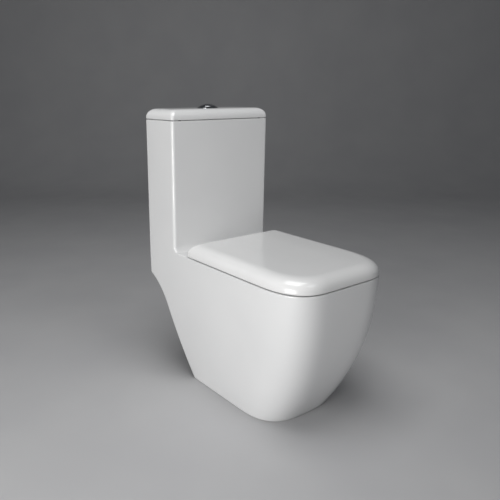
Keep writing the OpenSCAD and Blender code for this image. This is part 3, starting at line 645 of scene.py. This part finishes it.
def make_button(chrome):
    """Bezel with its threaded cup, and the two plates that make up the dome."""
    centre = (VALVE.x, VALVE.y, cap_high.z)
    cup_in, cup_out = 25.6 * MM, 27.4 * MM
    floor = bezel_low.z - cap_high.z
    profile = [(cup_in - 1 * MM, floor + 3 * MM), (cup_in - 0.4 * MM, floor + 3 * MM), (cup_in, floor + 3.6 * MM),
               (cup_in, dome(cup_in) - 0.6 * MM), (cup_in + 0.25 * MM, dome(cup_in) - 0.15 * MM),
               (cup_in + 0.7 * MM, dome(cup_in + 0.7 * MM))]
    profile += [(r, dome(r)) for r in (lerp(cup_in + 1.2 * MM, DOME_BASE - 0.7 * MM, i / 8) for i in range(9))]
    profile += [(DOME_BASE - 0.1 * MM, 0.6 * MM), (DOME_BASE - 0.1 * MM, 0.15 * MM), (DOME_BASE - 0.5 * MM, 0.02 * MM),
                (cup_out + 0.3 * MM, 0.02 * MM), (cup_out, -0.4 * MM)]
    turns = 9
    for i in range(turns * 4 + 1):
        z = lerp(-14 * MM, floor + 2 * MM, i / (turns * 4))
        profile.append((cup_out - (0.55 * MM if i % 4 == 2 else 0.3 * MM if i % 2 else 0.02 * MM), z))
    profile += [(cup_out - 1 * MM, floor), (cup_in - 6 * MM, floor)]
    bezel = new_object("bezel_skin", lathe_mesh("bezel_skin", profile, centre, 128), chrome, "cistern_top")
    smooth(bezel, 50)
    pieces = [bezel]
    split = (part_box("full_flush_button")[0].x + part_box("half_flush_button")[1].x) / 2
    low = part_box("full_flush_button")[0].z - cap_high.z
    radius = 25.2 * MM
    half_gap = 0.3 * MM
    for name, side, body in (("full_button_skin", 1, "full_button"), ("half_button_skin", -1, "half_button")):
        plate = [(radius - 2 * MM, low + 2 * MM), (radius - 0.6 * MM, low + 0.3 * MM), (radius, low + 1 * MM),
                 (radius, dome(radius) - 0.7 * MM), (radius - 0.2 * MM, dome(radius) - 0.2 * MM),
                 (radius - 0.7 * MM, dome(radius - 0.7 * MM))]
        plate += [(r, dome(r)) for r in (lerp(radius - 1.4 * MM, 0.4 * MM, i / 24) for i in range(25))]
        button = new_object(name, lathe_mesh(name, plate, centre, 128), chrome, body)
        cut_x = split + side * half_gap
        edge = (cut_x - 0.1, centre[1] - 0.1, cap_high.z - 0.1), (cut_x, centre[1] + 0.1, cap_high.z + 0.1)
        if side < 0:
            edge = (cut_x, centre[1] - 0.1, cap_high.z - 0.1), (cut_x + 0.1, centre[1] + 0.1, cap_high.z + 0.1)
        combine(button, [box_tool("edge", *edge)], "DIFFERENCE")
        bevel(button, 0.5 * MM, 3, 50)
        smooth(button, 40)
        pieces.append(button)
    return pieces


# ---------- seat lid and ring ----------

LID_SIDE_CROWN, LID_FRONT_CROWN, LID_CROWN_N = 41 * MM, 38 * MM, 2.3
LID_BOW = 3.8 * MM                     # gentle rise of the whole top towards the middle
LID_REAR = lid_high.y
LID_REAR_CROWN, LID_REAR_DROP, LID_REAR_N = 31 * MM, 24.7 * MM, 1.7
LID_REAR_R = 7 * MM
LID_HEEL_R = 5 * MM
LID_STRIP_Y = HINGE_Y - 10 * MM        # the lid is solid behind this
LID_WALL, LID_ROOF = 5 * MM, 5.5 * MM
LID_H = 38.5 * MM
SEAT_REACH = (119 * MM, 158 * MM)
SEAT_COUNTS = (14, 30, 34, 8)
EAR_W = 15 * MM
POST_R = post_high.z - HINGE_Z
EAR_R = ring_high.z - HINGE_Z
BUSH_R = (bush_high.z - bush_low.z) / 2


def seat_ring_at(z, side, front, back, back_r, draw_in):
    """Ring of the seat outline at height z, drawn in at the sides and the front."""
    reach = (SEAT_REACH[0] - draw_in * side, SEAT_REACH[1] - draw_in * front)
    outline = mirrored(half_outline(HALF - side, FRONT + front, back, reach, back_r, CORNER_N, SEAT_COUNTS))
    return [Vector((x, y, z)) for x, y, nx, ny in outline]


def lid_ring_at(z, side, front, back):
    return seat_ring_at(z, side, front, back, LID_REAR_R, 0.67)


def lid_back(z):
    """Rear face of the lid: rounded at the bottom, upright, then crowned over to the top."""
    heel = max(0, lid_low.z + LID_HEEL_R - z)
    rise = min(1, max(0, (z - lid_low.z - LID_H + LID_REAR_DROP) / LID_REAR_DROP))
    run_in = 1 - (1 - rise ** LID_REAR_N) ** (1 / LID_REAR_N)
    return LID_REAR - LID_HEEL_R + math.sqrt(max(0, LID_HEEL_R ** 2 - heel ** 2)) - LID_REAR_CROWN * run_in


def lid_stations():
    """From the edge of the lid inwards, as (inset at the sides, inset at the front, height)."""
    stations = []
    for a in arc(30):
        q = 1 - max(math.cos(a), 0) ** (2 / LID_CROWN_N)
        side = LID_SIDE_CROWN * q
        rise = (LID_H - LID_BOW) * math.sin(a) ** (2 / LID_CROWN_N)
        stations.append((side, LID_FRONT_CROWN * q, rise + lid_bow_at(side)))
    for side in (50 * MM, 60 * MM, 72 * MM, 85 * MM, 100 * MM, 120 * MM):
        stations.append((side, side - LID_SIDE_CROWN + LID_FRONT_CROWN, LID_H - LID_BOW + lid_bow_at(side)))
    return stations


def lid_bow_at(inset):
    return LID_BOW * (1 - (1 - inset / HALF) ** 2)


def make_seat_lid(plastic):
    bottom = lid_low.z
    flatter = (LID_H - LID_ROOF) / LID_H
    stations = lid_stations()
    rows = [lid_ring_at(bottom + flatter * z, LID_WALL + side, LID_WALL + front, LID_STRIP_Y)
            for side, front, z in reversed(stations[1:])]
    edge = 1.2 * MM
    rows.append(lid_ring_at(bottom + edge, LID_WALL, LID_WALL, LID_STRIP_Y))
    rows.append(lid_ring_at(bottom, LID_WALL - edge, LID_WALL - edge, LID_STRIP_Y + edge))
    for a in arc(5):
        z = bottom + edge * (1 - math.cos(a))
        rows.append(lid_ring_at(z, edge * (1 - math.sin(a)), edge * (1 - math.sin(a)), lid_back(z)))
    for rise in (1.8 * MM, 2.6 * MM, 3.6 * MM, 4.8 * MM):
        rows.append(lid_ring_at(bottom + rise, 0, 0, lid_back(bottom + rise)))
    for side, front, z in stations:
        if z > 5.5 * MM:
            rows.append(lid_ring_at(bottom + z, side, front, lid_back(bottom + z)))
    lid = new_object("seat_lid_skin", grid_mesh("seat_lid_skin", rows), plastic, "lid")
    x0, x1 = post_low.x - EAR_W - 2.5 * MM, post_high.x + 0.7 * MM
    tools = []
    for s in (-1, 1):
        tools.append(box_tool("notch", (min(s * x0, s * x1), LID_STRIP_Y - 0.01, bottom - 0.01),
                              (max(s * x0, s * x1), LID_REAR + 0.01, HINGE_Z + POST_R + 1 * MM)))
        tools.append(rod_tool("bore", (s * (x1 - 0.001), HINGE_Y, HINGE_Z), (s * (x1 + EAR_W), HINGE_Y, HINGE_Z),
                              BUSH_R + 0.03 * MM, 64))
    combine(lid, tools, "DIFFERENCE")
    smooth(lid, 30)
    return [lid]


def make_seat_ring(plastic):
    low = ring_low.z
    high = low + 21 * MM
    inset, crown, side_h = 9 * MM, 20 * MM, 4 * MM
    under, lip, rear_y, rear_r = 2.5 * MM, 16 * MM, 62 * MM, 4 * MM
    hole_w, hole_front, hole_rear = 103 * MM, -235 * MM, 25 * MM
    mid, length = (hole_front + hole_rear) / 2, (hole_rear - hole_front) / 2

    def level(z, draw):
        rear = rear_y - rear_r + math.sqrt(rear_r ** 2 - max(0, z - high + rear_r) ** 2)
        rear -= max(0, draw - inset) if z < low + under else 0
        return seat_ring_at(z, draw, draw, rear, 14 * MM, 0.5)

    def hole_ring(z, grow):
        ring = []
        for x, y, _ in level(high - rear_r, inset):
            cx, cy = abs(x / hole_w) ** (BOWL_N / 2), abs((y - mid) / length) ** (BOWL_N / 2)
            size = math.hypot(cx, cy)
            ring.append(Vector((math.copysign((hole_w + grow) * (cx / size) ** (2 / BOWL_N), x),
                                mid + math.copysign((length + grow) * (cy / size) ** (2 / BOWL_N), y - mid), z)))
        return ring

    rows = [level(low + under - under * math.sin(a), inset + under * (1 - math.cos(a))) for a in arc(3, 90, 0)]
    rows += [level(low + side_h + (high - low - side_h) * math.sin(a), inset + crown * (1 - math.cos(a)))
             for a in arc(14)]
    outer, inner = rows[-1], hole_ring(high - 0.6 * MM, lip)
    rows += [[a.lerp(b, i / 6) for a, b in zip(outer, inner)] for i in range(1, 6)]
    drop_h = 10 * MM
    rows += [hole_ring(high - 0.6 * MM - drop_h + drop_h * math.sin(a), lip * (1 - math.cos(a)))
             for a in arc(8, 90, 0)]
    rows += [hole_ring(low + under - under * math.sin(a), under * (1 - math.cos(a))) for a in arc(3)]
    ring = new_object("seat_ring_skin", grid_mesh("seat_ring_skin", rows, caps=False), plastic, "seat")
    smooth(ring)
    pieces = [ring]
    outer_x = post_low.x - 0.7 * MM
    for s, side in ((-1, "left"), (1, "right")):
        xs = sorted((s * (outer_x - EAR_W), s * outer_x))
        barrel = rod_tool("seat_ear_" + side, (xs[0], HINGE_Y, HINGE_Z), (xs[1], HINGE_Y, HINGE_Z), EAR_R, 64)
        arm = box_tool("arm", (xs[0] + 0.01 * MM, 52 * MM, HINGE_Z - 8 * MM),
                       (xs[1] - 0.01 * MM, HINGE_Y, high - 0.05 * MM))
        combine(barrel, [arm], "UNION")
        hole_tool = rod_tool("hole", (xs[0] - 0.01, HINGE_Y, HINGE_Z), (xs[1] + 0.01, HINGE_Y, HINGE_Z),
                             BUSH_R + 0.03 * MM, 64)
        combine(barrel, [hole_tool], "DIFFERENCE")
        barrel.data.materials.append(plastic)
        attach(barrel, "seat")
        bevel(barrel, 0.8 * MM, 3, 50)
        smooth(barrel)
        pieces.append(barrel)
    return pieces


# ---------- hinge posts ----------

def make_hinge_posts(chrome):
    pieces = []
    for s, side in ((-1, "left"), (1, "right")):
        x = s * HINGE_X
        half = (post_high.x - post_low.x) / 2
        name = "hinge_post_" + side + "_skin"
        barrel = rod_tool(name, (x - half, HINGE_Y, HINGE_Z), (x + half, HINGE_Y, HINGE_Z), POST_R, 64)
        stem = box_tool("stem", (x - half, HINGE_Y - 8 * MM, RIM + 1 * MM), (x + half, HINGE_Y + 8 * MM, HINGE_Z))
        base = rod_tool("base", (x, HINGE_Y, RIM + 0.02 * MM), (x, HINGE_Y, RIM + 2.6 * MM), 10.9 * MM, 64)
        combine(barrel, [stem, base], "UNION")
        pin = rod_tool("pin", (x - half - 0.01, HINGE_Y, HINGE_Z), (x + half + 0.01, HINGE_Y, HINGE_Z), 4.03 * MM)
        combine(barrel, [pin], "DIFFERENCE")
        barrel.data.materials.append(chrome)
        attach(barrel, "pan")
        bevel(barrel, 0.8 * MM, 3, 50)
        smooth(barrel)
        pieces.append(barrel)
    return pieces


# ---------- materials ----------

class Nodes:
    """A material's node tree with short ways to add to it."""

    def __init__(self, name):
        self.material = bpy.data.materials.new(name)
        self.material.use_nodes = True
        self.tree = self.material.node_tree
        self.shader = self.tree.nodes["Principled BSDF"]
        self.place = self.add("ShaderNodeTexCoord").outputs["Object"]

    def add(self, kind, **values):
        node = self.tree.nodes.new(kind)
        for key, value in values.items():
            if hasattr(node, key):
                setattr(node, key, value)
            else:
                node.inputs[key.replace("_", " ")].default_value = value
        return node

    def link(self, a, b):
        self.tree.links.new(a, b)

    def noise(self, scale, detail=3.0, roughness=0.5):
        node = self.add("ShaderNodeTexNoise")
        node.inputs["Scale"].default_value = scale
        node.inputs["Detail"].default_value = detail
        node.inputs["Roughness"].default_value = roughness
        self.link(self.place, node.inputs["Vector"])
        return node.outputs["Fac"]

    def between(self, factor, low, high):
        """A value from low to high as factor goes from 0.3 to 0.7."""
        node = self.add("ShaderNodeMapRange")
        node.inputs["From Min"].default_value = 0.3
        node.inputs["From Max"].default_value = 0.7
        node.inputs["To Min"].default_value = low
        node.inputs["To Max"].default_value = high
        self.link(factor, node.inputs["Value"])
        return node.outputs["Result"]

    def blend(self, factor, low, high):
        node = self.add("ShaderNodeMix")
        node.data_type = "RGBA"
        node.inputs[6].default_value = (*low, 1)
        node.inputs[7].default_value = (*high, 1)
        self.link(factor, node.inputs[0])
        return node.outputs[2]

    def colour(self, factor, low, high):
        self.link(self.blend(self.between(factor, 0, 1), low, high), self.shader.inputs["Base Color"])

    def roughness(self, factor, low, high):
        self.link(self.between(factor, low, high), self.shader.inputs["Roughness"])

    def bump(self, *heights, distance=0.001):
        """Adds bumps one on top of the other; each is (height, strength)."""
        last = None
        for height, strength in heights:
            node = self.add("ShaderNodeBump")
            node.inputs["Strength"].default_value = strength
            node.inputs["Distance"].default_value = distance
            self.link(height, node.inputs["Height"])
            if last is not None:
                self.link(last, node.inputs["Normal"])
            last = node.outputs["Normal"]
        self.link(last, self.shader.inputs["Normal"])


def glaze_material():
    """White sanitary glaze: glassy, with a slow ripple and a trace of fine orange peel."""
    n = Nodes("glaze")
    n.colour(n.noise(5, 2), (0.800, 0.803, 0.805), (0.830, 0.832, 0.832))
    n.roughness(n.noise(38, 4), 0.10, 0.16)
    n.bump((n.noise(16, 1), 0.06), (n.noise(140, 2), 0.018), distance=0.002)
    n.shader.inputs["Specular IOR Level"].default_value = 0.55
    n.shader.inputs["Coat Weight"].default_value = 0.35
    n.shader.inputs["Coat Roughness"].default_value = 0.04
    return n.material


def bisque_material():
    """Unglazed ceramic inside the skirt: matt, sandy, slightly cream."""
    n = Nodes("bisque")
    n.colour(n.noise(22, 5), (0.56, 0.545, 0.51), (0.68, 0.665, 0.63))
    n.roughness(n.noise(60, 4), 0.62, 0.8)
    n.bump((n.noise(420, 4), 0.35), (n.noise(30, 3), 0.3))
    return n.material


def seat_material():
    """Moulded thermoset of the seat: even white, gloss just under the glaze's."""
    n = Nodes("seat_plastic")
    n.colour(n.noise(7, 2), (0.815, 0.817, 0.815), (0.838, 0.838, 0.834))
    n.roughness(n.noise(70, 4), 0.14, 0.20)
    n.bump((n.noise(10, 1), 0.03), (n.noise(260, 2), 0.012), distance=0.002)
    n.shader.inputs["Coat Weight"].default_value = 0.25
    n.shader.inputs["Coat Roughness"].default_value = 0.06
    return n.material


def chrome_material():
    n = Nodes("chrome_plate")
    n.colour(n.noise(40, 2), (0.50, 0.51, 0.53), (0.60, 0.61, 0.63))
    n.roughness(n.noise(160, 5, 0.7), 0.04, 0.09)
    n.bump((n.noise(60, 2), 0.015))
    n.shader.inputs["Metallic"].default_value = 1.0
    return n.material


def steel_material():
    """Turned stainless steel with faint draw lines."""
    n = Nodes("stainless")
    stretch = n.add("ShaderNodeMapping")
    stretch.inputs["Scale"].default_value = (900, 900, 40)
    n.link(n.place, stretch.inputs["Vector"])
    lines = n.add("ShaderNodeTexNoise")
    lines.inputs["Scale"].default_value = 1.0
    n.link(stretch.outputs["Vector"], lines.inputs["Vector"])
    n.colour(lines.outputs["Fac"], (0.42, 0.43, 0.44), (0.58, 0.59, 0.60))
    n.roughness(lines.outputs["Fac"], 0.22, 0.36)
    n.bump((lines.outputs["Fac"], 0.06))
    n.shader.inputs["Metallic"].default_value = 1.0
    return n.material


def moulded_material(name, dark, light, low=0.32, high=0.46):
    """Injection-moulded plastic with a fine spark texture."""
    n = Nodes(name)
    n.colour(n.noise(30, 3), dark, light)
    n.roughness(n.noise(120, 3), low, high)
    n.bump((n.noise(1500, 2), 0.10), (n.noise(25, 2), 0.04))
    return n.material


def rubber_material():
    n = Nodes("rubber_black")
    n.colour(n.noise(50, 4), (0.018, 0.018, 0.020), (0.040, 0.040, 0.043))
    n.roughness(n.noise(200, 4), 0.55, 0.75)
    n.bump((n.noise(900, 4), 0.22))
    return n.material


# ---------- stage ----------

def make_stage():
    n = Nodes("studio_floor")
    n.colour(n.noise(3, 2), (0.50, 0.50, 0.51), (0.53, 0.53, 0.535))
    n.roughness(n.noise(9, 3), 0.55, 0.68)
    size, rise, bend = 9.0, 5.0, 1.6
    rows = []
    for y, z in [(-7.0, 0), (-2.0, 0), (3.2, 0)] + [
            (3.2 + bend * math.sin(a), bend - bend * math.cos(a)) for a in arc(10)[1:]] + [(3.2 + bend, rise)]:
        rows.append([Vector((x, y, z)) for x in (-size, size)])
    mesh = bpy.data.meshes.new("studio_floor")
    points = [p for row in rows for p in row]
    faces = [(2 * i, 2 * i + 1, 2 * i + 3, 2 * i + 2) for i in range(len(rows) - 1)]
    mesh.from_pydata([tuple(p) for p in points], [], faces)
    mesh.polygons.foreach_set("use_smooth", [True] * len(mesh.polygons))
    floor = new_object("studio_floor", mesh, n.material, None)
    turn = Matrix.Rotation(CAMERA_TURN, 4, "Z")
    floor.data.transform(turn)
    world = bpy.data.worlds.new("studio")
    world.use_nodes = True
    world.node_tree.nodes["Background"].inputs["Color"].default_value = (0.72, 0.75, 0.80, 1)
    world.node_tree.nodes["Background"].inputs["Strength"].default_value = 0.08
    bpy.context.scene.world = world
    bpy.context.scene.view_settings.view_transform = "Standard"


def area_light(name, place, target, size, power, colour=(1, 1, 1)):
    data = bpy.data.lights.new(name, "AREA")
    data.shape = "RECTANGLE"
    data.size, data.size_y = size
    data.energy = power
    data.color = colour
    light = bpy.data.objects.new(name, data)
    bpy.context.scene.collection.objects.link(light)
    light.location = place
    light.rotation_euler = (Vector(target) - Vector(place)).to_track_quat("-Z", "Y").to_euler()


CAMERA_TURN = math.radians(-36.608)
CAMERA_TILT = math.radians(15.947)


def make_camera():
    data = bpy.data.cameras.new("camera")
    data.lens = 39.87
    data.sensor_width = 36
    data.shift_x = 0.0735
    camera = bpy.data.objects.new("camera", data)
    bpy.context.scene.collection.objects.link(camera)
    camera.location = (-1.0417, -1.1715, 0.8794)
    ahead = Vector((-math.sin(CAMERA_TURN) * math.cos(CAMERA_TILT), math.cos(CAMERA_TURN) * math.cos(CAMERA_TILT),
                    -math.sin(CAMERA_TILT)))
    camera.rotation_euler = ahead.to_track_quat("-Z", "Y").to_euler()
    bpy.context.scene.camera = camera


# ---------- assembly ----------

glaze = glaze_material()
bisque = bisque_material()
seat_plastic = seat_material()
chrome = chrome_material()
steel = steel_material()
grey_plastic = moulded_material("moulded_grey", (0.60, 0.61, 0.62), (0.68, 0.69, 0.70))
blue_plastic = moulded_material("moulded_blue", (0.03, 0.11, 0.27), (0.05, 0.15, 0.33))
rubber = rubber_material()
materials = {"white_glaze": glaze, "seat_plastic": seat_plastic, "chrome": chrome, "steel": steel,
             "grey_plastic": grey_plastic, "blue_plastic": blue_plastic, "black_rubber": rubber}


def dress(pieces, node):
    """The pieces stand in for a CAD node, which is hidden."""
    for piece in pieces:
        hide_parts(node)


dress(make_pan(glaze, bisque) + [make_cistern(glaze)], "ceramic_body")
dress(make_cistern_lid(glaze), "cistern_lid")
bezel, full_button, half_button = make_button(chrome)
dress([bezel], "button_bezel")
dress([full_button], "full_flush_button")
dress([half_button], "half_flush_button")
dress(make_seat_lid(seat_plastic), "seat_lid")
dress(make_seat_ring(seat_plastic), "seat_ring")
left_post, right_post = make_hinge_posts(chrome)
dress([left_post], "hinge_post_left")
dress([right_post], "hinge_post_right")

for part in frame["record"]["subparts"]:
    node = frame["nodes"][part["node"]]
    for slot in node.material_slots:
        slot.material = materials[part["material_slot"]]

make_camera()
make_stage()
area_light("key", (-2.2, -0.9, 0.65), (0, -0.1, 0.3), (1.3, 1.3), 34, (1.0, 0.995, 0.985))
area_light("top", (-0.6, -0.2, 3.0), (0, 0, 0.4), (1.6, 1.6), 38)
area_light("front", (0.3, -2.2, 3.0), (0, 0.2, 0.7), (1.2, 0.8), 8, (0.97, 0.98, 1.0))
